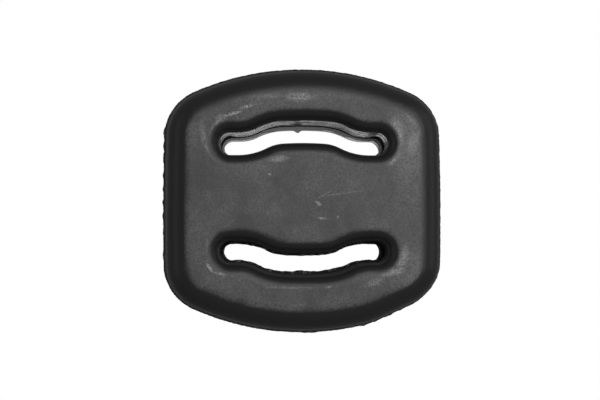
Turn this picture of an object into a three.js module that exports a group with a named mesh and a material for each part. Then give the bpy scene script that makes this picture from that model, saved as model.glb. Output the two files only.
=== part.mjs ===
// Exhaust hanger: one block of black rubber, compression moulded between two mould halves.
// Two slots shaped like a moustache run right through it. The pin under the car passes through
// the upper one, and the pin on the exhaust pipe hangs in the lower one.
//
// Millimetres. X runs across the block, Y through its thickness with the front face at -Y, and
// Z is up, as the block hangs. The origin is the middle of the block.
//
// The block is built as loops stacked through its thickness. Each loop is a contour of tangent
// arcs, moved out or in along its own normals, so every wall and rounding keeps a true offset.

import * as THREE from 'three';

// Driving dimensions of the block's outline, at the parting plane halfway through its thickness
const thickness = 28;           // between the two flat faces
const crownRadius = 69.5;       // arc of the top edge and of the bottom edge
const sideRadius = 700;         // arc of the left edge and of the right edge, nearly straight
const cornerRadius = 12.7;      // arc that joins a crown to a side
const edgeRadius = 6;           // rounding between a flat face and the side wall
const sideDraft = 0.9;          // lean of the side wall between parting plane and rounding

// Rubber left around the slots, at the parting plane
const endWall = 15.2;           // beside the round end of a slot
const crownWall = 15;           // beyond the middle of a slot
const webHeight = 22.1;         // between the level ends of the two slots

// Driving dimensions of a slot, at the parting plane
const slotGap = 5.2;            // height of the opening
const slotRise = 3.1;           // middle of the slot beyond its level ends
const slotCrownRadius = 85;     // arc of the middle stretch
const slotCrownWidth = 10.5;    // width of the middle stretch
const slotBendRadius = 13.5;    // the two bends between the middle stretch and a level end
const slotEndLength = 1.7;      // level stretch before the round end
const slotDraft = 0.4;          // lean of the slot wall between parting plane and lip
const slotLipRadius = 3;        // rounding between a flat face and the slot wall

// Driving dimensions of the parting line, where the mould halves met
const flashHeight = 0.6;        // rim of flash around the outside
const flashRoot = 0.9;          // its thickness at the wall
const flashTip = 0.3;           // its thickness at the tip
const slotFlashHeight = 0.4;    // low ridge inside each slot

// Fineness of the facets
const chordError = 0.05;        // largest gap between an arc and its facets
const edgeSteps = 6;            // facets across the outer rounding
const lipSteps = 5;             // facets across a slot's lip

// Sizes that follow from the driving dimensions
const halfGap = slotGap / 2;
const slotLevelZ = webHeight / 2 + halfGap;
const slotCrownZ = slotLevelZ + slotRise;
const slotWidest = halfGap + slotDraft + slotLipRadius;
const slotCentreline = makeSlotCentreline();
const slotEndX = slotCentreline.at(-1).x;
const halfWidth = slotEndX + halfGap + endWall;
const halfHeight = slotCrownZ + halfGap + crownWall;

// Number of facets that keep an arc of this radius and sweep within the chord error.
function arcSteps(radius, sweep) {
  const stepAngle = 2 * Math.acos(1 - chordError / radius);
  return Math.max(1, Math.ceil(Math.abs(sweep) / stepAngle));
}

// Points along an arc, each with its unit normal. The normal points away from the arc's centre
// where side is 1, and towards it where side is -1.
function arcPoints(centre, radius, fromAngle, toAngle, side, steps) {
  const points = [];
  for (let i = 0; i <= steps; i += 1) {
    const angle = fromAngle + (toAngle - fromAngle) * i / steps;
    const across = Math.cos(angle);
    const up = Math.sin(angle);
    points.push({
      x: centre.x + radius * across,
      z: centre.z + radius * up,
      nx: side * across,
      nz: side * up,
    });
  }
  return points;
}

// Direction from one point to another, as an angle from +X.
function directionOf(from, to) {
  return Math.atan2(to.z - from.z, to.x - from.x);
}

// Joins stretches of a contour end to end, and leaves out a point that repeats the one before.
function joinStretches(...stretches) {
  const joined = [];
  for (const point of stretches.flat()) {
    const last = joined.at(-1);
    if (!last || Math.hypot(point.x - last.x, point.z - last.z) > 1e-6) {
      joined.push(point);
    }
  }
  return joined;
}

// Closes a contour whose last point repeats its first.
function closeContour(points) {
  const first = points[0];
  const last = points.at(-1);
  const repeats = Math.hypot(last.x - first.x, last.z - first.z) < 1e-6;
  return repeats ? points.slice(0, -1) : points;
}

// A contour seen in a mirror, walked the other way so that it carries on from its end.
function mirrored(points, signX, signZ) {
  return points.map((point) => ({
    x: point.x * signX,
    z: point.z * signZ,
    nx: point.nx * signX,
    nz: point.nz * signZ,
  })).reverse();
}

// Centre of the circle that touches the inside of two larger circles, on the +X +Z side.
function innerTangentCentre(centreA, reachA, centreB, reachB) {
  const dx = centreB.x - centreA.x;
  const dz = centreB.z - centreA.z;
  const distance = Math.hypot(dx, dz);
  const along = (reachA ** 2 - reachB ** 2 + distance ** 2) / (2 * distance);
  const aside = Math.sqrt(reachA ** 2 - along ** 2);
  return {
    x: centreA.x + (dx * along - dz * aside) / distance,
    z: centreA.z + (dz * along + dx * aside) / distance,
  };
}

// Outline of the block, counter-clockwise from the front: side, corner and crown arcs of one
// quarter, mirrored into the other three.
function makeOutline() {
  const crown = { x: 0, z: halfHeight - crownRadius };
  const side = { x: halfWidth - sideRadius, z: 0 };
  const sideReach = sideRadius - cornerRadius;
  const crownReach = crownRadius - cornerRadius;
  const corner = innerTangentCentre(side, sideReach, crown, crownReach);
  const sideEnd = directionOf(side, corner);
  const crownStart = directionOf(crown, corner);
  const quarter = joinStretches(
    arcPoints(side, sideRadius, 0, sideEnd, 1, arcSteps(sideRadius, sideEnd)),
    arcPoints(corner, cornerRadius, sideEnd, crownStart, 1,
      arcSteps(cornerRadius, crownStart - sideEnd)),
    arcPoints(crown, crownRadius, crownStart, Math.PI / 2, 1,
      arcSteps(crownRadius, Math.PI / 2 - crownStart)),
  );
  const upper = joinStretches(quarter, mirrored(quarter, -1, 1));
  return closeContour(joinStretches(upper, mirrored(upper, 1, -1)));
}

// Right half of the upper slot's centreline, from its middle to the centre of its round end:
// the crown arc, a bend down, a bend back to level and a short level stretch.
function makeSlotCentreline() {
  const crown = { x: 0, z: slotCrownZ - slotCrownRadius };
  const crownEnd = Math.acos(slotCrownWidth / 2 / slotCrownRadius);
  const bendDown = {
    x: crown.x + (slotCrownRadius - slotBendRadius) * Math.cos(crownEnd),
    z: crown.z + (slotCrownRadius - slotBendRadius) * Math.sin(crownEnd),
  };
  const bendLevelZ = slotLevelZ + slotBendRadius;
  const between = Math.sqrt((2 * slotBendRadius) ** 2 - (bendLevelZ - bendDown.z) ** 2);
  const bendLevel = { x: bendDown.x + between, z: bendLevelZ };
  const turn = directionOf(bendDown, bendLevel);
  const bendSteps = arcSteps(slotBendRadius + slotWidest, crownEnd - turn);
  const levelStart = bendLevel.x;
  return joinStretches(
    arcPoints(crown, slotCrownRadius, Math.PI / 2, crownEnd, 1,
      arcSteps(slotCrownRadius, Math.PI / 2 - crownEnd)),
    arcPoints(bendDown, slotBendRadius, crownEnd, turn, 1, bendSteps),
    arcPoints(bendLevel, slotBendRadius, turn - Math.PI, -Math.PI / 2, -1, bendSteps),
    [{ x: levelStart + slotEndLength, z: slotLevelZ, nx: 0, nz: 1 }],
  );
}

// Contour of the upper slot at the parting plane, clockwise from the front. Its normals point
// into the rubber, so a positive offset widens the slot.
function makeSlotContour() {
  const beyond = slotCentreline.map((point) => ({
    x: point.x + point.nx * halfGap,
    z: point.z + point.nz * halfGap,
    nx: point.nx,
    nz: point.nz,
  }));
  const nearWeb = slotCentreline.map((point) => ({
    x: point.x - point.nx * halfGap,
    z: point.z - point.nz * halfGap,
    nx: -point.nx,
    nz: -point.nz,
  })).reverse();
  const endCentre = { x: slotEndX, z: slotLevelZ };
  const roundEnd = arcPoints(endCentre, halfGap, Math.PI / 2, -Math.PI / 2, 1,
    arcSteps(slotWidest, Math.PI));
  const rightHalf = joinStretches(beyond, roundEnd, nearWeb);
  return closeContour(joinStretches(rightHalf, mirrored(rightHalf, -1, 1)));
}

// Depth and offset of each loop from one flat face to the other. A rounding runs from the face
// to the wall, the wall leans by its draft, and the parting line stands out at the middle.
// Offsets are positive away from the rubber on the outside, and into it in a slot.
function makeLevels(roundRadius, draft, ridgeHeight, steps, side) {
  const front = [];
  for (let i = 0; i <= steps; i += 1) {
    const angle = Math.PI / 2 * i / steps;
    front.push({
      y: -thickness / 2 + roundRadius * (1 - Math.cos(angle)),
      offset: -side * (draft + roundRadius * (1 - Math.sin(angle))),
    });
  }
  front.push({ y: -flashRoot / 2, offset: 0 });
  front.push({ y: -flashTip / 2, offset: side * ridgeHeight });
  const back = front.map((level) => ({ y: -level.y, offset: level.offset })).reverse();
  return [...front, ...back];
}

// Adds one loop of vertices to the list for each level, and returns the index of each loop's
// first vertex.
function addLoops(positions, contour, levels) {
  return levels.map((level) => {
    const firstVertex = positions.length / 3;
    for (const point of contour) {
      const x = point.x + point.nx * level.offset;
      const z = point.z + point.nz * level.offset;
      positions.push(x, level.y, z);
    }
    return firstVertex;
  });
}

// Joins each loop to the one behind it with a strip of facets.
function addWalls(indices, loopStarts, count) {
  for (let level = 0; level + 1 < loopStarts.length; level += 1) {
    const near = loopStarts[level];
    const far = loopStarts[level + 1];
    for (let i = 0; i < count; i += 1) {
      const next = (i + 1) % count;
      indices.push(near + i, far + i, far + next);
      indices.push(near + i, far + next, near + next);
    }
  }
}

// Fills a flat face between the outer loop and the slots' loops.
function addFace(positions, indices, loops, facesFront) {
  const rings = loops.map(({ start, count }) => {
    const ring = [];
    for (let i = start; i < start + count; i += 1) {
      ring.push(new THREE.Vector2(positions[3 * i], positions[3 * i + 2]));
    }
    return ring;
  });
  const vertexOf = loops.flatMap(({ start, count }) => {
    return Array.from({ length: count }, (unused, i) => start + i);
  });
  const corners = rings.flat();
  const triangles = THREE.ShapeUtils.triangulateShape(rings[0], rings.slice(1));
  for (const [a, b, c] of triangles) {
    const ab = corners[b].clone().sub(corners[a]);
    const ac = corners[c].clone().sub(corners[a]);
    const counterClockwise = ab.cross(ac) > 0;
    const order = counterClockwise === facesFront ? [a, b, c] : [a, c, b];
    indices.push(...order.map((corner) => vertexOf[corner]));
  }
}

// The whole moulding: outer wall, the walls of both slots, and the two flat faces.
function makeBlockGeometry() {
  const outerLevels = makeLevels(edgeRadius, sideDraft, flashHeight, edgeSteps, 1);
  const slotLevels = makeLevels(slotLipRadius, slotDraft, slotFlashHeight, lipSteps, -1);
  const upperSlot = makeSlotContour();
  const surfaces = [
    { contour: makeOutline(), levels: outerLevels },
    { contour: upperSlot, levels: slotLevels },
    { contour: mirrored(upperSlot, 1, -1), levels: slotLevels },
  ];
  const positions = [];
  const indices = [];
  const frontLoops = [];
  const backLoops = [];
  for (const { contour, levels } of surfaces) {
    const loopStarts = addLoops(positions, contour, levels);
    addWalls(indices, loopStarts, contour.length);
    frontLoops.push({ start: loopStarts[0], count: contour.length });
    backLoops.push({ start: loopStarts.at(-1), count: contour.length });
  }
  addFace(positions, indices, frontLoops, true);
  addFace(positions, indices, backLoops, false);
  const geometry = new THREE.BufferGeometry();
  geometry.setAttribute('position', new THREE.Float32BufferAttribute(positions, 3));
  geometry.setIndex(indices);
  geometry.computeVertexNormals();
  return geometry;
}

// Vulcanised black rubber, matt, with the grey bloom of new stock.
const blackRubber = new THREE.MeshStandardMaterial({
  color: 0x3a3b3c,
  roughness: 0.72,
  metalness: 0,
});

const hangerBody = new THREE.Mesh(makeBlockGeometry(), blackRubber);
hangerBody.name = 'hanger_body';

const exhaustHanger = new THREE.Group();
exhaustHanger.name = 'exhaust_hanger';
exhaustHanger.add(hangerBody);

export default exhaustHanger;
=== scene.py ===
"""Exhaust hanger: a block of black rubber with two curved slots, compression moulded in one piece.

X runs across the block, Y through its thickness with the front face at -Y, and Z is up, as the
block hangs. Sizes in the classes are millimetres, and Blender's own unit is the metre.
"""

import logging
import math
from collections.abc import Callable
from dataclasses import dataclass, field
from enum import Enum
from typing import Any

import bmesh
import bpy
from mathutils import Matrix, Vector


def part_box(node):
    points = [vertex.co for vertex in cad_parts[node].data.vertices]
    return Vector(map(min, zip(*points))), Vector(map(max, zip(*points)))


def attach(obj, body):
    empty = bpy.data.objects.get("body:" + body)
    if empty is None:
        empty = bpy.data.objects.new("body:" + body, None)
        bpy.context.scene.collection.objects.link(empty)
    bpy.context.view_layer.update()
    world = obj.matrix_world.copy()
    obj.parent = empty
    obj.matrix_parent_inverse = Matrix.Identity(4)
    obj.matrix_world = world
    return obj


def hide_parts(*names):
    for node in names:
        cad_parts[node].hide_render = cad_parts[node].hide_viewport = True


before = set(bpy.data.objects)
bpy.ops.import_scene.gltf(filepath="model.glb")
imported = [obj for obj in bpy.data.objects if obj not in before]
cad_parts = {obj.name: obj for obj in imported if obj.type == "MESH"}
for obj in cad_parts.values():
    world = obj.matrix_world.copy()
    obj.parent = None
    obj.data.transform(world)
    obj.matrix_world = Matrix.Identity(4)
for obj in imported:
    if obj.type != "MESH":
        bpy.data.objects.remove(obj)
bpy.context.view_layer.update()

LOG = logging.getLogger("exhaust_hanger")
MM = 0.001
NEAR = 0.001  # millimetres within which a vertex counts as lying at a depth
TOWARDS_BACK = (0, 1, 0)


class Wall(Enum):
    """Which way a wall of the moulding faces."""

    OUTER = "outer"
    SLOT = "slot"


@dataclass(frozen=True)
class Point:
    """A place in the plane of the block's outline, in millimetres."""

    x: float
    z: float

    def polar(self, radius: float, angle: float) -> "Point":
        """The point that lies at a radius and an angle from this one."""
        return Point(self.x + radius * math.cos(angle), self.z + radius * math.sin(angle))

    def direction(self, other: "Point") -> float:
        """The direction of another point from this one, as an angle from +X."""
        return math.atan2(other.z - self.z, other.x - self.x)

    def distance(self, other: "Point") -> float:
        """The distance to another point."""
        return math.hypot(other.x - self.x, other.z - self.z)


def deselect_everything() -> None:
    """Leaves object mode with nothing selected."""
    if bpy.context.object and bpy.context.object.mode != "OBJECT":
        bpy.ops.object.mode_set(mode="OBJECT")
    bpy.ops.object.select_all(action="DESELECT")


def make_active(piece: bpy.types.Object) -> None:
    """Selects one object alone and makes it the active one."""
    deselect_everything()
    piece.select_set(True)
    bpy.context.view_layer.objects.active = piece


def select_where(piece: bpy.types.Object, test: Callable[[Vector], bool]) -> None:
    """Selects the vertices that pass a test, with the edges and faces between them, in edit mode.

    Args:
        piece: the object in edit mode.
        test: takes a vertex's place in millimetres.
    """
    bpy.ops.mesh.select_all(action="DESELECT")
    mesh = bmesh.from_edit_mesh(piece.data)
    for vertex in mesh.verts:
        vertex.select = test(vertex.co / MM)
    mesh.select_flush(True)
    bmesh.update_edit_mesh(piece.data)


def at_depth(depth: float) -> Callable[[Vector], bool]:
    """A test for the vertices at one depth through the block."""
    return lambda place: abs(place.y - depth) < NEAR


def pull_loop(depth: float, spread: float) -> None:
    """Extrudes the selected loops through the block and moves them along their own normals.

    Args:
        depth: how far the new loops lie behind the old ones.
        spread: how far they move away from the rubber, negative into it.
    """
    bpy.ops.mesh.extrude_edges_move(TRANSFORM_OT_translate={"value": (0, depth * MM, 0)})
    if spread:
        bpy.ops.transform.shrink_fatten(value=spread * MM, use_even_offset=True)


class ProfilePen:
    """Draws a profile in the parting plane, one stretch after another, in edit mode."""

    def __init__(self, name: str, start: Point, spacing: float) -> None:
        """Starts a new object with one vertex.

        Args:
            name: the object's name.
            start: where the profile starts.
            spacing: distance between vertices along an arc.
        """
        deselect_everything()
        bpy.ops.mesh.primitive_plane_add(size=MM, location=(start.x * MM, 0, start.z * MM))
        bpy.ops.object.transform_apply(location=True, rotation=True, scale=True)
        self.piece = bpy.context.object
        self.piece.name = name
        self.spacing = spacing
        bpy.ops.object.mode_set(mode="EDIT")
        bpy.ops.mesh.select_all(action="SELECT")
        bpy.ops.mesh.merge(type="CENTER")

    def arc(self, centre: Point, radius: float, sweep: float) -> None:
        """Spins the last vertex about a centre.

        Args:
            centre: the arc's centre.
            radius: the arc's radius, which sets the number of steps.
            sweep: the angle, counter-clockwise as seen from the front where it is positive.
        """
        steps = max(1, math.ceil(radius * abs(sweep) / self.spacing))
        middle = (centre.x * MM, 0, centre.z * MM)
        bpy.ops.mesh.spin(steps=steps, angle=sweep, center=middle, axis=TOWARDS_BACK)

    def line(self, across: float) -> None:
        """Pulls the last vertex along X, in steps of about the pen's spacing."""
        steps = max(1, math.ceil(abs(across) / self.spacing))
        for _ in range(steps):
            move = {"value": (across / steps * MM, 0, 0)}
            bpy.ops.mesh.extrude_vertices_move(TRANSFORM_OT_translate=move)

    def mirror(self) -> bpy.types.Object:
        """Mirrors the profile across both middles of the block.

        Returns:
            The object, in object mode.
        """
        bpy.ops.object.mode_set(mode="OBJECT")
        apply_mirror(self.piece, (True, False, True))
        return self.piece


def apply_mirror(piece: bpy.types.Object, axes: tuple[bool, bool, bool]) -> None:
    """Mirrors a piece about the origin and merges it along the mirror planes.

    Args:
        piece: the active object.
        axes: whether it is mirrored along X, Y and Z.
    """
    mirror = piece.modifiers.new("mirror", "MIRROR")
    mirror.use_axis = axes
    mirror.merge_threshold = NEAR * MM
    bpy.ops.object.modifier_apply(modifier=mirror.name)


@dataclass(frozen=True)
class TornSpot:
    """A place along the parting line where the flash stands higher than elsewhere."""

    place: Point
    reach: float
    height: float

    def height_at(self, point: Point) -> float:
        """Height that the spot adds at a point: full at the spot and nothing at its reach."""
        share = max(0.0, 1 - (self.place.distance(point) / self.reach) ** 2)
        return self.height * share ** 2


@dataclass(frozen=True)
class Flash:
    """The thin fin of rubber that squeezed out between the mould halves.

    The root and the tip are its thicknesses, and the tears are as long as the tear size.
    """

    height: float
    root: float
    tip: float
    raggedness: float
    tear_size: float
    spots: tuple[TornSpot, ...] = ()
    tear_detail: int = 2
    tear_contrast: float = 2.5

    def height_at(self, point: Point) -> float:
        """Height of the fin at a point of the parting line."""
        return self.height + sum(spot.height_at(point) for spot in self.spots)

    def raise_fin(self, piece: bpy.types.Object) -> None:
        """Moves the loops of the tip out of the wall by the fin's height, torn by fine noise.

        Args:
            piece: the wall, in object mode, with its tip loops at and near the parting plane.
        """
        tallest = self.height + sum(spot.height for spot in self.spots)
        group = piece.vertex_groups.new(name="flash_tip")
        for vertex in piece.data.vertices:
            place = vertex.co / MM
            if place.y > -self.tip / 2 - NEAR:
                share = self.height_at(Point(place.x, place.z)) / tallest
                group.add([vertex.index], share, "REPLACE")
        tear = bpy.data.textures.new("tear", "CLOUDS")
        tear.noise_scale = self.tear_size * MM
        tear.noise_depth = self.tear_detail
        tear.contrast = self.tear_contrast
        fin = piece.modifiers.new("fin", "DISPLACE")
        fin.texture = tear
        fin.texture_coords = "LOCAL"
        fin.vertex_group = group.name
        fin.strength = tallest * self.raggedness * MM
        fin.mid_level = 1 - 1 / self.raggedness
        bpy.ops.object.modifier_apply(modifier=fin.name)


@dataclass(frozen=True)
class Section:
    """How a wall runs from the parting plane to the flat face.

    The draft and the leans are how far it comes in over that way.
    """

    draft: float
    rounding: float
    steps: int
    top_lean: float = 0.0
    side_lean: float = 0.0

    def raise_wall(self, half_thickness: float, start: float) -> None:
        """Pulls the selected loop up the wall and round its edge to the flat face.

        Args:
            half_thickness: distance from the parting plane to the flat face.
            start: distance from the parting plane to the selected loop.
        """
        depth = -start
        offset = 0.0
        for step in range(self.steps + 1):
            angle = math.pi / 2 * (1 - step / self.steps)
            next_depth = -half_thickness + self.rounding * (1 - math.cos(angle))
            next_offset = -self.draft - self.rounding * (1 - math.sin(angle))
            pull_loop(next_depth - depth, next_offset - offset)
            self.lean((depth - next_depth) / half_thickness)
            depth = next_depth
            offset = next_offset

    def lean(self, share: float) -> None:
        """Squeezes the selected loop towards its lowest point, for a top and sides that lean in.

        Args:
            share: the part of the whole lean that falls to this loop.
        """
        if not self.top_lean:
            return
        mesh = bmesh.from_edit_mesh(bpy.context.object.data)
        loop = [vertex.co for vertex in mesh.verts if vertex.select]
        lowest = min(place.z for place in loop)
        tall = max(place.z for place in loop) - lowest
        wide = 2 * max(place.x for place in loop)
        squeeze = (1 - 2 * self.side_lean * share * MM / wide, 1,
                   1 - self.top_lean * share * MM / tall)
        bpy.ops.transform.resize(value=squeeze, center_override=(0, 0, lowest))


@dataclass
class Outline:
    """The block's outline at the parting plane: two crowns, two sides and four corners."""

    half_width: float
    half_height: float
    crown_radius: float = 69.5
    side_radius: float = 700
    corner_radius: float = 12.7

    def corner_centre(self, side: Point, crown: Point) -> Point:
        """Centre of the corner arc, which touches the inside of a side and of a crown."""
        side_reach = self.side_radius - self.corner_radius
        crown_reach = self.crown_radius - self.corner_radius
        apart = side.distance(crown)
        along = (side_reach ** 2 - crown_reach ** 2 + apart ** 2) / (2 * apart)
        aside = math.acos(along / side_reach)
        return side.polar(side_reach, side.direction(crown) + aside)

    def draw(self, name: str, spacing: float) -> bpy.types.Object:
        """Draws one quarter, counter-clockwise from +X, and mirrors it into the others.

        Args:
            name: the object's name.
            spacing: distance between vertices.

        Returns:
            The closed outline.
        """
        side = Point(self.half_width - self.side_radius, 0)
        crown = Point(0, self.half_height - self.crown_radius)
        corner = self.corner_centre(side, crown)
        side_end = side.direction(corner)
        crown_start = crown.direction(corner)
        pen = ProfilePen(name, Point(self.half_width, 0), spacing)
        pen.arc(side, self.side_radius, side_end)
        pen.arc(corner, self.corner_radius, crown_start - side_end)
        pen.arc(crown, self.crown_radius, math.pi / 2 - crown_start)
        return pen.mirror()


@dataclass
class Slot:
    """The upper slot at the parting plane, shaped like a moustache."""

    roof_z: float
    gap: float = 5.2
    rise: float = 3.1
    crown_radius: float = 85
    crown_width: float = 10.5
    bend_radius: float = 13.5
    end_length: float = 1.7

    def draw(self, name: str, spacing: float) -> bpy.types.Object:
        """Draws the right half of the upper slot, clockwise from its middle, and mirrors it.

        Args:
            name: the object's name.
            spacing: distance between vertices.

        Returns:
            The closed contours of both slots.
        """
        half_gap = self.gap / 2
        crown_z = self.roof_z - half_gap
        level_z = crown_z - self.rise
        crown = Point(0, crown_z - self.crown_radius)
        crown_end = math.acos(self.crown_width / 2 / self.crown_radius)
        bend_down = crown.polar(self.crown_radius - self.bend_radius, crown_end)
        bend_level_z = level_z + self.bend_radius
        turn = math.asin((bend_level_z - bend_down.z) / (2 * self.bend_radius))
        bend_level = bend_down.polar(2 * self.bend_radius, turn)
        end = Point(bend_level.x + self.end_length, level_z)
        crown_sweep = math.pi / 2 - crown_end
        down_sweep = crown_end - turn
        level_sweep = math.pi / 2 - turn
        wide = self.bend_radius + half_gap
        tight = self.bend_radius - half_gap
        pen = ProfilePen(name, Point(0, self.roof_z), spacing)
        pen.arc(crown, self.crown_radius + half_gap, -crown_sweep)
        pen.arc(bend_down, wide, -down_sweep)
        pen.arc(bend_level, tight, level_sweep)
        pen.line(self.end_length)
        pen.arc(end, half_gap, -math.pi)
        pen.line(-self.end_length)
        pen.arc(bend_level, wide, -level_sweep)
        pen.arc(bend_down, tight, down_sweep)
        pen.arc(crown, self.crown_radius - half_gap, crown_sweep)
        return pen.mirror()


def linear(colour: str) -> tuple[float, float, float, float]:
    """Turns an sRGB hex colour into linear values.

    Args:
        colour: a colour such as #1e1f20.

    Returns:
        Linear red, green and blue, and an alpha of one.
    """
    def channel(start: int) -> float:
        """One channel's linear value."""
        value = int(colour[start:start + 2], 16) / 255
        return value / 12.92 if value <= 0.04045 else ((value + 0.055) / 1.055) ** 2.4

    return channel(1), channel(3), channel(5), 1.0


def add_node(tree: bpy.types.NodeTree, kind: str, inputs: dict[Any, Any] | None = None,
             **settings: Any) -> bpy.types.Node:
    """Adds a shader node with its settings, values and links.

    Args:
        tree: the material's node tree.
        kind: the node's type name, without its ShaderNode prefix.
        inputs: a value or an output socket for each named or numbered input.
        settings: the node's own properties.

    Returns:
        The new node.
    """
    node = tree.nodes.new("ShaderNode" + kind)
    for name, value in settings.items():
        setattr(node, name, value)
    for name, value in (inputs or {}).items():
        if isinstance(value, bpy.types.NodeSocket):
            tree.links.new(value, node.inputs[name])
        else:
            node.inputs[name].default_value = value
    return node


def distance_along(tree: bpy.types.NodeTree, place: bpy.types.NodeSocket,
                   axis: int) -> bpy.types.NodeSocket:
    """Distance from the origin along one axis of the Object coordinates."""
    part = add_node(tree, "SeparateXYZ", {0: place}).outputs[axis]
    return add_node(tree, "Math", {0: part}, operation="ABSOLUTE").outputs[0]


@dataclass(frozen=True)
class Zone:
    """A stretch of distance over which a finish fades out, in millimetres."""

    full: float
    none: float

    def share(self, tree: bpy.types.NodeTree, distance: bpy.types.NodeSocket,
              most: Any = 1.0) -> bpy.types.NodeSocket:
        """Share of the finish: the most at the full distance, and nothing at the other.

        Args:
            tree: the material's node tree.
            distance: the distance, in metres.
            most: the largest share, as a number or a socket.

        Returns:
            A socket from 0 to the most.
        """
        return add_node(tree, "MapRange", {0: distance, 1: self.full * MM, 2: self.none * MM,
                                           3: most, 4: 0.0},
                        interpolation_type="SMOOTHSTEP").outputs[0]


@dataclass(frozen=True)
class Pattern:
    """Noise over the surface, with its largest spots in millimetres.

    It turns into a share that rises from the least to the most, between a low and a high level.
    """

    size: float
    detail: float
    roughness: float = 0.5
    low: float = 0.0
    high: float = 1.0
    least: float = 0.0
    most: float = 1.0

    def level(self, tree: bpy.types.NodeTree,
              place: bpy.types.NodeSocket) -> bpy.types.NodeSocket:
        """The noise itself."""
        return add_node(tree, "TexNoise", {"Vector": place, "Scale": 1 / (self.size * MM),
                                           "Detail": self.detail,
                                           "Roughness": self.roughness}).outputs[0]

    def share(self, tree: bpy.types.NodeTree,
              place: bpy.types.NodeSocket) -> bpy.types.NodeSocket:
        """The noise as a share."""
        return add_node(tree, "MapRange", {0: self.level(tree, place), 1: self.low,
                                           2: self.high, 3: self.least,
                                           4: self.most}).outputs[0]


@dataclass(frozen=True)
class Layer:
    """What one part of the surface looks like, and the share of it that shows."""

    share: bpy.types.NodeSocket
    colour: str = ""
    roughness: float | None = None
    specular: float | None = None


@dataclass(frozen=True)
class Mark:
    """A soft-edged mark on the front face: a patch of bloom and painted light, a rub or a scratch.
    """

    place: Point
    length: float
    width: float
    turn: float
    strength: float


# Grey patches on the right, along the top and at the left shoulder, and a little elsewhere,
# partly thicker bloom and partly painted light falling from the upper right.
BLOOM_AND_LIGHT_PATCHES = (
    Mark(Point(26, 15), 26, 14, 85, 0.62),
    Mark(Point(26, -19), 24, 16, 120, 0.24),
    Mark(Point(-27, 17), 24, 12, 70, 0.16),
    Mark(Point(-2, 25), 44, 8, 0, 0.24),
    Mark(Point(28, -2), 14, 56, 0, 0.17),
    Mark(Point(-10, -27), 40, 10, 8, 0.06),
    Mark(Point(4, 0), 44, 20, 20, 0.06),
)

# Strokes and specks round the slots' ends, on the top and in the middle of the face.
SCUFFS = (
    Mark(Point(-17.8, 20.9), 6.4, 1.2, 14, 1.1),
    Mark(Point(-14.4, 22.6), 5.6, 1.2, 16, 1.0),
    Mark(Point(-20.6, 19.4), 4.6, 4.6, 20, 0.45),
    Mark(Point(-22.4, 17.6), 5.6, 1.6, 60, 0.7),
    Mark(Point(-25.0, 15.0), 10, 2.0, 100, 0.4),
    Mark(Point(-23.4, 11.2), 6, 1.4, -55, 0.5),
    Mark(Point(-1.0, 25.2), 10, 3.2, 0, 0.75),
    Mark(Point(-8.5, 25.4), 8, 1.8, 0, 0.4),
    Mark(Point(-6.2, 9.6), 7, 2.2, 5, 0.8),
    Mark(Point(-8.6, 5.7), 1.0, 0.8, 0, 1.2),
    Mark(Point(23.4, 17.6), 7, 4.0, 110, 0.8),
    Mark(Point(23.4, 14.4), 6, 4.0, 80, 0.9),
    Mark(Point(27.4, 13.6), 9, 4.0, 75, 0.55),
    Mark(Point(22.4, 9.8), 6, 3.4, 55, 0.7),
    Mark(Point(27.0, 20.4), 7, 3.4, 130, 0.45),
    Mark(Point(24.6, -15.6), 10, 3.4, 75, 0.7),
    Mark(Point(21.6, -18.8), 8, 2.4, 8, 0.8),
    Mark(Point(17.6, -21.2), 7, 2.4, 20, 0.45),
    Mark(Point(-23.4, -17.6), 3.6, 1.0, -55, 1.7),
    Mark(Point(-20.6, -19.0), 4.2, 1.0, -10, 1.1),
    Mark(Point(-23.8, -12.6), 6, 1.2, 95, 0.5),
    Mark(Point(3.6, -1.6), 2.8, 1.1, -35, 1.2),
    Mark(Point(4.6, -5.3), 3.8, 0.7, -5, 0.9),
    Mark(Point(8.6, -5.0), 0.9, 0.9, 0, 1.4),
    Mark(Point(10.0, 1.0), 16, 0.6, 8, 0.3),
    Mark(Point(5.0, 0.6), 6, 0.6, 30, 0.35),
    Mark(Point(-19.0, -7.0), 9, 1.0, 40, 0.12),
    Mark(Point(10.0, -10.0), 20, 1.2, 15, 0.2),
    Mark(Point(6.2, -22.2), 2.8, 0.9, 25, 1.1),
    Mark(Point(-3.0, -22.4), 16, 1.0, 0, 0.5),
)


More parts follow.
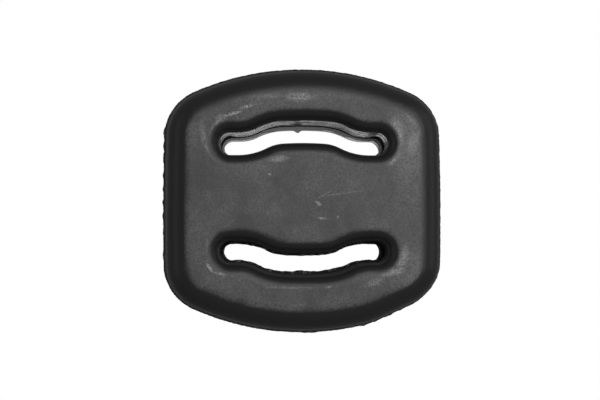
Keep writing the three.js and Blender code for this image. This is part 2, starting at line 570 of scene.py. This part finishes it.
@dataclass(frozen=True)
class MouldedRubber:
    """Vulcanised black rubber, compression moulded.

    Carbon black makes it nearly black and dull. The flat faces are grey, partly from a thin bloom
    of wax, which rubs brighter round the slots' ends, and partly from painted sheen and light that
    is brighter on the right and along the top. The roundings stay bare and darker, with a soft
    sheen. The pin has polished the wall of the upper slot, and the lower slot's wall is dull. The
    outer wall near the parting plane is painted lighter as a painted reflection, and the slot
    walls are painted lighter as painted light in their shade. The parting line is rough and
    painted near-black as painted shade, and the upper slot's fin is torn and painted pale as
    painted light, with pale specks of painted light on the other fins.

    Zones are distances from the parting plane, or from the block's middle where they say so.
    """

    rubber: str = "#1e1e1e"
    # The outer wall is painted lighter near the parting plane: a painted reflection of the bright
    # surroundings at the rim.
    wall: str = "#343434"
    # The slot walls are painted lighter: painted light where the slots fall into shade.
    lip: str = "#424242"
    # The flat faces' grey: partly wax bloom and partly painted sheen of the lamps.
    bloom_and_sheen: str = "#696969"
    rub: str = "#a1a1a1"
    # Painted shade: the parting line is painted near-black for the shadow beside the flash.
    parting: str = "#0b0b0b"
    # Painted light: the fins' pale grey stands for their front faces lit by the lamps.
    fin_light: str = "#b4b4b4"
    roughness: float = 0.32
    bloom_roughness: float = 0.62
    wall_roughness: float = 0.55
    dull_roughness: float = 0.9
    polish_roughness: float = 0.2
    specular: float = 0.4
    dull_specular: float = 0.12
    ior: float = 1.5

    slots_across: Zone = Zone(24.6, 25.4)  # from the middle, sideways
    slots_up: Zone = Zone(24, 25)  # from the middle, up and down
    slot_ends: Zone = Zone(19.5, 16.5)  # from the middle, sideways
    slot_wall: Zone = Zone(11, 11.6)
    slot_lip_light: Zone = Zone(11.4, 12.9)
    outer_wall_reflection: Zone = Zone(5.0, 8.6)
    dull_wall: Zone = Zone(6, 9)
    bloom_and_sheen_face: Zone = Zone(14, 13.72)
    rubbed: Zone = Zone(14, 13.9)
    seam_line: Zone = Zone(1.3, 2.6)
    fin_root: Zone = Zone(0.44, 0.5)
    fin_tip: Zone = Zone(0.16, 0.12)
    seam_widening: float = 3.6  # added to the seam at the slots' ends
    fin_light_share: float = 0.9

    # Wax comes up in clouds the size of a fingertip, broken into spots of half a millimetre.
    cloud: Pattern = Pattern(9, 6.0, 0.65, low=0.36, high=0.68, least=0.08, most=0.56)
    spots: Pattern = Pattern(0.5, 2.0, low=0.3, high=0.7, least=0.3, most=1.7)
    spot_turn: tuple[float, float, float] = (0.5, 0.7, 0.4)
    # A rub takes the wax off in specks, and leaves it in wrinkles a millimetre apart.
    speck: Pattern = Pattern(0.5, 3.0, 0.7, low=0.42, high=0.62)
    wrinkle: Pattern = Pattern(1.3, 1.0)
    wrinkle_edge: float = 0.45
    # Pale specks of painted light on the fins.
    tear: Pattern = Pattern(0.9, 2.0, low=0.52, high=0.7, least=0.05, most=0.4)
    # The mould's own grain is about 0.1 mm, too fine to show, so it is drawn five times as coarse.
    grain: Pattern = Pattern(0.5, 4.0, 0.6)
    grain_depth: float = 0.05
    # Moulded rubber is never quite flat: it waves by less than a tenth of a millimetre.
    wave: Pattern = Pattern(5, 2.0)
    wave_depth: float = 0.08
    # The pin's rubbing leaves flutes along the slot, about 2 mm apart through the thickness.
    flute: Pattern = Pattern(2.2, 1.5)
    flute_depth: float = 0.6
    flute_stretch: tuple[float, float, float] = (0.22, 1.0, 0.22)

    mark_plane: float = -14.0
    mark_depth: float = 6.0

    def material(self) -> bpy.types.Material:
        """Makes the material.

        Returns:
            The material, which reads Object coordinates only.
        """
        material = bpy.data.materials.new("moulded_black_rubber")
        material.use_nodes = True
        tree = material.node_tree
        tree.nodes.clear()
        place = add_node(tree, "TexCoord").outputs["Object"]
        slots = self.slot_share(tree, place)
        height = add_node(tree, "SeparateXYZ", {0: place}).outputs["Z"]
        upper = add_node(tree, "MapRange", {0: height, 1: -MM, 2: MM, 3: 0.0,
                                            4: slots}).outputs[0]
        polish = self.slot_wall.share(tree, distance_along(tree, place, 1), upper)
        shader = add_node(tree, "BsdfPrincipled", {
            **self.lay(tree, self.layers(tree, place, slots, upper, polish)),
            "IOR": self.ior,
            "Normal": self.relief(tree, place, polish),
        })
        add_node(tree, "OutputMaterial", {"Surface": shader.outputs[0]})
        return material

    def layers(self, tree: bpy.types.NodeTree, place: bpy.types.NodeSocket,
               slots: bpy.types.NodeSocket, upper: bpy.types.NodeSocket,
               polish: bpy.types.NodeSocket) -> tuple[Layer, ...]:
        """What lies over the bare rubber.

        Args:
            tree: the material's node tree.
            place: the Object coordinates.
            slots: share that is one in and round both slots.
            upper: share that is one in and round the upper slot.
            polish: share that is one on the upper slot's wall.

        Returns:
            The layers, the lowest first.
        """
        depth = distance_along(tree, place, 1)
        away = add_node(tree, "Math", {0: 1.0, 1: slots}, operation="SUBTRACT").outputs[0]
        both = self.slot_wall.share(tree, depth, slots)
        matt = add_node(tree, "Math", {0: both, 1: polish}, operation="SUBTRACT").outputs[0]
        return (
            # Painted light on the slot walls.
            Layer(self.slot_lip_light.share(tree, depth, slots), self.lip),
            # Painted reflection on the outer wall.
            Layer(self.outer_wall_reflection.share(tree, depth, away), self.wall),
            Layer(self.dull_wall.share(tree, depth), roughness=self.wall_roughness),
            # Grey on the flat faces: partly bloom and partly painted sheen and light.
            Layer(self.bloom_and_sheen_share(tree, place, depth), self.bloom_and_sheen, self.bloom_roughness),
            Layer(self.scuffs(tree, place, depth), self.rub),
            Layer(polish, roughness=self.polish_roughness),
            Layer(matt, roughness=self.dull_roughness, specular=self.dull_specular),
            # Painted shade along the parting line.
            Layer(self.seam(tree, place, depth, slots), self.parting, self.dull_roughness,
                  self.dull_specular),
            # Painted light on the fins.
            Layer(self.fin_face(tree, place, depth, upper), self.fin_light),
        )

    def lay(self, tree: bpy.types.NodeTree, layers: tuple[Layer, ...]) -> dict[str, Any]:
        """Lays the layers over the bare rubber.

        Args:
            tree: the material's node tree.
            layers: the layers, the lowest first.

        Returns:
            The shader's inputs for colour, roughness and specular level.
        """
        look: dict[str, Any] = {"Base Color": linear(self.rubber), "Roughness": self.roughness,
                                "Specular IOR Level": self.specular}
        for layer in layers:
            if layer.colour:
                below = look["Base Color"]
                look["Base Color"] = add_node(tree, "Mix", {0: layer.share, 6: below,
                                                            7: linear(layer.colour)},
                                              data_type="RGBA").outputs[2]
            for name, value in (("Roughness", layer.roughness),
                                ("Specular IOR Level", layer.specular)):
                if value is not None:
                    look[name] = add_node(tree, "Mix", {0: layer.share, 2: look[name],
                                                        3: value}).outputs[0]
        return look

    def slot_share(self, tree: bpy.types.NodeTree,
                   place: bpy.types.NodeSocket) -> bpy.types.NodeSocket:
        """Share that is one in and round the slots, and zero at the block's outer wall."""
        across = self.slots_across.share(tree, distance_along(tree, place, 0))
        return self.slots_up.share(tree, distance_along(tree, place, 2), across)

    def bloom_and_sheen_share(self, tree: bpy.types.NodeTree, place: bpy.types.NodeSocket,
             depth: bpy.types.NodeSocket) -> bpy.types.NodeSocket:
        """Share of the flat faces' grey, partly bloom and partly painted sheen: cloudy and spotted
        on the flat faces, and none on the roundings.

        Args:
            tree: the material's node tree.
            place: the Object coordinates.
            depth: the distance from the parting plane.

        Returns:
            A socket from 0 to 1.
        """
        clouds = self.cloud.share(tree, place)
        patches = self.marks(tree, place, BLOOM_AND_LIGHT_PATCHES)
        total = add_node(tree, "Math", {0: clouds, 1: patches}, operation="ADD").outputs[0]
        turned = add_node(tree, "Mapping", {"Vector": place,
                                            "Rotation": self.spot_turn}).outputs[0]
        total = add_node(tree, "Math", {0: total, 1: self.spots.share(tree, turned)},
                         operation="MULTIPLY").outputs[0]
        return add_node(tree, "Math", {0: total, 1: self.bloom_and_sheen_face.share(tree, depth)},
                        operation="MULTIPLY", use_clamp=True).outputs[0]

    def scuffs(self, tree: bpy.types.NodeTree, place: bpy.types.NodeSocket,
               depth: bpy.types.NodeSocket) -> bpy.types.NodeSocket:
        """Share of the rubs and scratches, broken into specks and wrinkles.

        A wrinkle is where its noise passes its middle level.

        Args:
            tree: the material's node tree.
            place: the Object coordinates.
            depth: the distance from the parting plane.

        Returns:
            A socket from 0 to 1.
        """
        nearness = add_node(tree, "Math", {0: self.wrinkle.level(tree, place), 1: 0.5},
                            operation="PINGPONG").outputs[0]
        wrinkles = add_node(tree, "MapRange", {0: nearness, 1: self.wrinkle_edge,
                                               2: 0.5}).outputs[0]
        broken = add_node(tree, "Math", {0: self.speck.share(tree, place), 1: wrinkles},
                          operation="MAXIMUM").outputs[0]
        rubs = add_node(tree, "Math", {0: self.marks(tree, place, SCUFFS), 1: broken},
                        operation="MULTIPLY").outputs[0]
        return add_node(tree, "Math", {0: rubs, 1: self.rubbed.share(tree, depth)},
                        operation="MULTIPLY", use_clamp=True).outputs[0]

    def marks(self, tree: bpy.types.NodeTree, place: bpy.types.NodeSocket,
              marks: tuple[Mark, ...]) -> bpy.types.NodeSocket:
        """Adds up soft ellipses on the front face.

        Args:
            tree: the material's node tree.
            place: the Object coordinates.
            marks: the marks.

        Returns:
            A socket from 0 up.
        """
        total: Any = 0.0
        for mark in marks:
            turned = add_node(tree, "Mapping", {
                "Vector": place,
                "Location": (mark.place.x * MM, self.mark_plane * MM, mark.place.z * MM),
                "Rotation": (0, -math.radians(mark.turn), 0),
                "Scale": (mark.length / 2 * MM, self.mark_depth * MM, mark.width / 2 * MM),
            }, vector_type="TEXTURE")
            far = add_node(tree, "VectorMath", {0: turned.outputs[0]}, operation="LENGTH")
            near = add_node(tree, "MapRange", {0: far.outputs["Value"], 1: 0.2, 2: 1.0,
                                               3: mark.strength, 4: 0.0},
                            interpolation_type="SMOOTHSTEP")
            total = add_node(tree, "Math", {0: near.outputs[0], 1: total},
                             operation="ADD").outputs[0]
        return total

    def seam(self, tree: bpy.types.NodeTree, place: bpy.types.NodeSocket,
             depth: bpy.types.NodeSocket, slots: bpy.types.NodeSocket) -> bpy.types.NodeSocket:
        """Share of painted shade on the rough parting line, broader at the slots' ends.

        Args:
            tree: the material's node tree.
            place: the Object coordinates.
            depth: the distance from the parting plane.
            slots: share that is one in and round both slots.

        Returns:
            A socket from 0 to 1.
        """
        ends = self.slot_ends.share(tree, distance_along(tree, place, 0), slots)
        widened = add_node(tree, "Math", {0: ends, 1: -self.seam_widening * MM, 2: depth},
                           operation="MULTIPLY_ADD").outputs[0]
        return self.seam_line.share(tree, widened)

    def fin_face(self, tree: bpy.types.NodeTree, place: bpy.types.NodeSocket,
                 depth: bpy.types.NodeSocket,
                 upper: bpy.types.NodeSocket) -> bpy.types.NodeSocket:
        """Share of painted light: all along the upper slot's fin, and pale specks on the others.

        Args:
            tree: the material's node tree.
            place: the Object coordinates.
            depth: the distance from the parting plane.
            upper: share that is one in and round the upper slot.

        Returns:
            A socket from 0 to 1.
        """
        pale = add_node(tree, "Math", {0: upper, 1: self.fin_light_share},
                        operation="MULTIPLY").outputs[0]
        pale = add_node(tree, "Math", {0: self.tear.share(tree, place), 1: pale},
                        operation="MAXIMUM").outputs[0]
        return self.fin_tip.share(tree, depth, self.fin_root.share(tree, depth, pale))

    def relief(self, tree: bpy.types.NodeTree, place: bpy.types.NodeSocket,
               polish: bpy.types.NodeSocket) -> bpy.types.NodeSocket:
        """A faint waviness, flutes along the upper slot, and the mould's fine grain.

        Args:
            tree: the material's node tree.
            place: the Object coordinates.
            polish: share that is one on the upper slot's wall.

        Returns:
            The bumped normal.
        """
        waved = add_node(tree, "Bump", {"Height": self.wave.level(tree, place), "Strength": 1.0,
                                        "Distance": self.wave_depth * MM})
        stretched = add_node(tree, "Mapping", {"Vector": place,
                                               "Scale": self.flute_stretch}).outputs[0]
        fluted = add_node(tree, "Bump", {"Height": self.flute.level(tree, stretched),
                                         "Strength": polish, "Distance": self.flute_depth * MM,
                                         "Normal": waved.outputs[0]})
        return add_node(tree, "Bump", {"Height": self.grain.level(tree, place), "Strength": 1.0,
                                       "Distance": self.grain_depth * MM,
                                       "Normal": fluted.outputs[0]}).outputs[0]


# The photograph's torn places: down the left side, at the lower right and at the bottom.
OUTER_TEARS = (
    TornSpot(Point(-36.2, 17.6), 2.2, 0.26),
    TornSpot(Point(-36.3, 14.2), 1.6, 0.26),
    TornSpot(Point(-36.3, 11.0), 1.8, 0.2),
    TornSpot(Point(-36.3, 6.4), 1.2, 0.2),
    TornSpot(Point(-36.3, 2.8), 0.9, 0.24),
    TornSpot(Point(-36.3, -0.6), 1.0, 0.2),
    TornSpot(Point(-36.3, -4.2), 1.4, 0.22),
    TornSpot(Point(-36.3, -8.8), 1.0, 0.18),
    TornSpot(Point(-36.2, -14.5), 1.6, 0.18),
    TornSpot(Point(16.0, -32.4), 1.4, 0.24),
    TornSpot(Point(19.2, -31.4), 1.2, 0.24),
    TornSpot(Point(22.8, -30.2), 1.5, 0.26),
    TornSpot(Point(26.0, -28.8), 1.2, 0.22),
    TornSpot(Point(2.0, -34.3), 3.0, 0.16),
)

# The drip on the upper slot's roof comes first, then taller stretches of both slots' fins.
SLOT_TEARS = (
    TornSpot(Point(-1.4, 19.4), 2.0, 1.1),
    TornSpot(Point(-6.0, 19.2), 4.2, 0.45),
    TornSpot(Point(3.4, 19.4), 4.2, 0.4),
    TornSpot(Point(9.6, 17.6), 4.0, 0.3),
    TornSpot(Point(8.0, -18.8), 4.0, 0.35),
    TornSpot(Point(0.0, -19.4), 5.0, 0.3),
)


@dataclass
class HangerBlock:
    """The whole moulding: outer wall, slot walls, flash and flat faces."""

    node: str = "hanger_body"
    slot_finish: str = "black_rubber"
    flash: Flash = Flash(height=0.32, root=0.9, tip=0.3, raggedness=0.3, tear_size=0.7,
                         spots=OUTER_TEARS)
    ridge: Flash = Flash(height=0.6, root=0.9, tip=0.3, raggedness=0.25, tear_size=1.5,
                         spots=SLOT_TEARS)
    outer: Section = Section(draft=0.9, rounding=6.3, steps=12, top_lean=1.5, side_lean=0.8)
    lip: Section = Section(draft=0.25, rounding=3.4, steps=9)
    flash_allowance: float = 0.6  # from the block's wall to the frame's box
    crown_wall: float = 15  # of rubber, over the upper slot
    spacing: float = 0.33
    face_margin: float = 0.3
    corner: Point = Point(27, -26)
    corner_shift: Point = Point(-0.4, 0.8)
    corner_reach: float = 12
    smooth_angle: float = 35
    finish: MouldedRubber = field(default_factory=MouldedRubber)

    def __post_init__(self) -> None:
        """Takes the block's width, height and thickness from the frame."""
        low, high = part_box(self.node)
        self.half_thickness = (high.y - low.y) / 2 / MM
        self.half_width = (high.x - low.x) / 2 / MM - self.flash_allowance
        self.half_height = (high.z - low.z) / 2 / MM - self.flash_allowance

    def wall(self, piece: bpy.types.Object, faces: Wall, flash: Flash, section: Section) -> None:
        """Raises the front half of a wall from its contour at the parting plane.

        Args:
            piece: the closed contours.
            faces: which way the wall faces.
            flash: the fin at the parting plane.
            section: the wall's draft and rounding.
        """
        make_active(piece)
        bpy.ops.object.mode_set(mode="EDIT")
        bpy.ops.mesh.select_all(action="SELECT")
        pull_loop(-flash.tip / 2, 0)
        pull_loop((flash.tip - flash.root) / 2, 0)
        bpy.ops.mesh.select_all(action="SELECT")
        bpy.ops.mesh.normals_make_consistent(inside=faces is Wall.SLOT)
        bpy.ops.object.mode_set(mode="OBJECT")
        flash.raise_fin(piece)
        bpy.ops.object.mode_set(mode="EDIT")
        select_where(piece, at_depth(-flash.root / 2))
        section.raise_wall(self.half_thickness, flash.root / 2)
        bpy.ops.object.mode_set(mode="OBJECT")

    def close_face(self, piece: bpy.types.Object) -> None:
        """Fills the front face between the rounded edges.

        A narrow margin keeps the roundings' shading off the flat face.

        Args:
            piece: the joined walls.
        """
        make_active(piece)
        bpy.ops.object.mode_set(mode="EDIT")
        select_where(piece, at_depth(-self.half_thickness))
        bpy.ops.mesh.fill(use_beauty=True)
        select_where(piece, at_depth(-self.half_thickness))
        bpy.ops.mesh.inset(thickness=self.face_margin * MM, use_boundary=True,
                           use_even_offset=True)
        bpy.ops.object.mode_set(mode="OBJECT")

    def draw_in_corner(self, piece: bpy.types.Object) -> None:
        """Draws the lower right corner in, where the moulding is a little out of square.

        Args:
            piece: the closed block, in edit mode.
        """
        select_where(piece, lambda place: place.x > self.corner.x and place.z < self.corner.z)
        shift = (self.corner_shift.x * MM, 0, self.corner_shift.z * MM)
        bpy.ops.transform.translate(value=shift, use_proportional_edit=True,
                                    proportional_edit_falloff="SMOOTH",
                                    proportional_size=self.corner_reach * MM)

    def build(self) -> bpy.types.Object:
        """Models the block.

        Returns:
            The finished piece, dressed and riding on its body.
        """
        block = Outline(self.half_width, self.half_height).draw("moulded_block", self.spacing)
        slots = Slot(self.half_height - self.crown_wall).draw("slots", self.spacing)
        self.wall(block, Wall.OUTER, self.flash, self.outer)
        self.wall(slots, Wall.SLOT, self.ridge, self.lip)
        make_active(block)
        slots.select_set(True)
        bpy.ops.object.join()
        self.close_face(block)
        apply_mirror(block, (False, True, False))
        bpy.ops.object.mode_set(mode="EDIT")
        self.draw_in_corner(block)
        bpy.ops.mesh.select_all(action="SELECT")
        bpy.ops.mesh.normals_make_consistent(inside=False)
        bpy.ops.object.mode_set(mode="OBJECT")
        bpy.ops.object.shade_smooth_by_angle(angle=math.radians(self.smooth_angle))
        block.vertex_groups.clear()
        block.data.materials.clear()
        block.data.materials.append(self.finish.material())
        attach(block, "root")
        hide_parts(self.node)
        return block


@dataclass(frozen=True)
class AreaLamp:
    """A rectangular softbox aimed at the block, with sizes in metres."""

    name: str
    place: tuple[float, float, float]
    width: float
    height: float
    radiance: float

    def build(self) -> bpy.types.Object:
        """Adds the lamp, aimed at the origin and unseen by the camera."""
        turn = Vector(self.place).to_track_quat("Z", "Y").to_euler()
        bpy.ops.object.light_add(type="AREA", location=self.place, rotation=turn)
        lamp = bpy.context.object
        lamp.name = self.name
        lamp.data.shape = "RECTANGLE"
        lamp.data.size = self.width
        lamp.data.size_y = self.height
        lamp.data.energy = math.pi * self.width * self.height * self.radiance
        lamp.visible_camera = False
        return lamp


@dataclass
class Studio:
    """The white card behind the block, the grey floor far below it and the soft lamps.

    Sizes are in metres. The slot glow stands behind the rubber between the slots, out of the
    camera's sight, and lights the upper slot's roof.
    """

    floor_z: float = -0.28
    floor_width: float = 0.8
    backdrop_y: float = 0.45
    backdrop_width: float = 1.4
    backdrop_height: float = 1.0
    fill: float = 0.17
    card_grey: str = "#a0a0a0"
    floor_grey: str = "#a8a8a8"
    floor_roughness: float = 0.9
    lamps: tuple[AreaLamp, ...] = (
        AreaLamp("front_softbox", (0.22, -0.8, 0.25), 1.1, 1.0, 2.0),
        AreaLamp("right_strip", (0.9, -0.1, 0.25), 0.3, 0.9, 0.6),
        AreaLamp("left_strip", (-0.9, -0.25, 0.1), 0.3, 0.9, 0.35),
        AreaLamp("slot_glow", (0, 0.05, 0.004), 0.044, 0.016, 1.2),
    )

    def world(self) -> None:
        """Makes the world white to the camera and a dim grey to everything else."""
        world = bpy.data.worlds.new("studio")
        world.use_nodes = True
        tree = world.node_tree
        tree.nodes.clear()
        rays = add_node(tree, "LightPath")
        level = add_node(tree, "MapRange", {0: rays.outputs["Is Camera Ray"], 3: self.fill,
                                            4: 1.0})
        glow = add_node(tree, "Background", {"Strength": level.outputs[0],
                                             "Color": linear("#ffffff")})
        add_node(tree, "OutputWorld", {"Surface": glow.outputs[0]})
        bpy.context.scene.world = world

    def white_card(self) -> bpy.types.Material:
        """Card that is white to the camera and grey to the block, so its rim stays dark."""
        material = bpy.data.materials.new("white_card")
        material.use_nodes = True
        tree = material.node_tree
        tree.nodes.clear()
        rays = add_node(tree, "LightPath")
        card = add_node(tree, "BsdfDiffuse", {"Color": linear(self.card_grey)})
        glow = add_node(tree, "Emission", {"Color": linear("#ffffff"), "Strength": 1.0})
        mixed = add_node(tree, "MixShader", {0: rays.outputs["Is Camera Ray"],
                                             1: card.outputs[0], 2: glow.outputs[0]})
        add_node(tree, "OutputMaterial", {"Surface": mixed.outputs[0]})
        return material

    def floor_paint(self) -> bpy.types.Material:
        """Matt grey floor paint, which keeps the block's shadow."""
        material = bpy.data.materials.new("floor_paint")
        material.use_nodes = True
        shader = material.node_tree.nodes["Principled BSDF"]
        shader.inputs["Base Color"].default_value = linear(self.floor_grey)
        shader.inputs["Roughness"].default_value = self.floor_roughness
        return material

    def build(self) -> None:
        """Adds the floor, the backdrop, the lamps and the world."""
        deselect_everything()
        bpy.ops.mesh.primitive_plane_add(size=1, location=(0, 0, self.floor_z))
        floor = bpy.context.object
        floor.name = "studio_floor"
        floor.scale = (self.floor_width, self.floor_width, 1)
        bpy.ops.object.transform_apply(location=True, rotation=True, scale=True)
        floor.data.materials.append(self.floor_paint())
        bpy.ops.mesh.primitive_plane_add(size=1, location=(0, self.backdrop_y, 0),
                                         rotation=(math.pi / 2, 0, 0))
        backdrop = bpy.context.object
        backdrop.name = "studio_backdrop"
        backdrop.scale = (self.backdrop_width, self.backdrop_height, 1)
        bpy.ops.object.transform_apply(location=True, rotation=True, scale=True)
        backdrop.data.materials.append(self.white_card())
        for lamp in self.lamps:
            lamp.build()
        self.world()


@dataclass(frozen=True)
class PhotoCamera:
    """The camera, a little below and to the left of the block's middle, in millimetres."""

    place: tuple[float, float, float] = (-8.0, -264, -14.0)
    aim: tuple[float, float, float] = (-1.0, -14, -0.74)
    lens: float = 60.3
    near: float = 10

    def build(self) -> bpy.types.Object:
        """Adds the camera and makes it the scene's own."""
        place = Vector(self.place) * MM
        turn = (Vector(self.aim) * MM - place).to_track_quat("-Z", "Y").to_euler()
        bpy.ops.object.camera_add(location=place, rotation=turn)
        camera = bpy.context.object
        camera.data.lens = self.lens
        camera.data.clip_start = self.near * MM
        bpy.context.scene.camera = camera
        return camera


def main() -> None:
    """Builds the block and the studio, and reports each piece."""
    logging.basicConfig(level=logging.INFO, format="%(name)s: %(message)s")
    scene = bpy.context.scene
    scene.view_settings.view_transform = "Standard"
    block = HangerBlock().build()
    LOG.info("%s has %d vertices and %d faces", block.name, len(block.data.vertices),
             len(block.data.polygons))
    Studio().build()
    LOG.info("studio is set")
    PhotoCamera().build()
    LOG.info("camera is set")


if __name__ == "__main__":
    main()
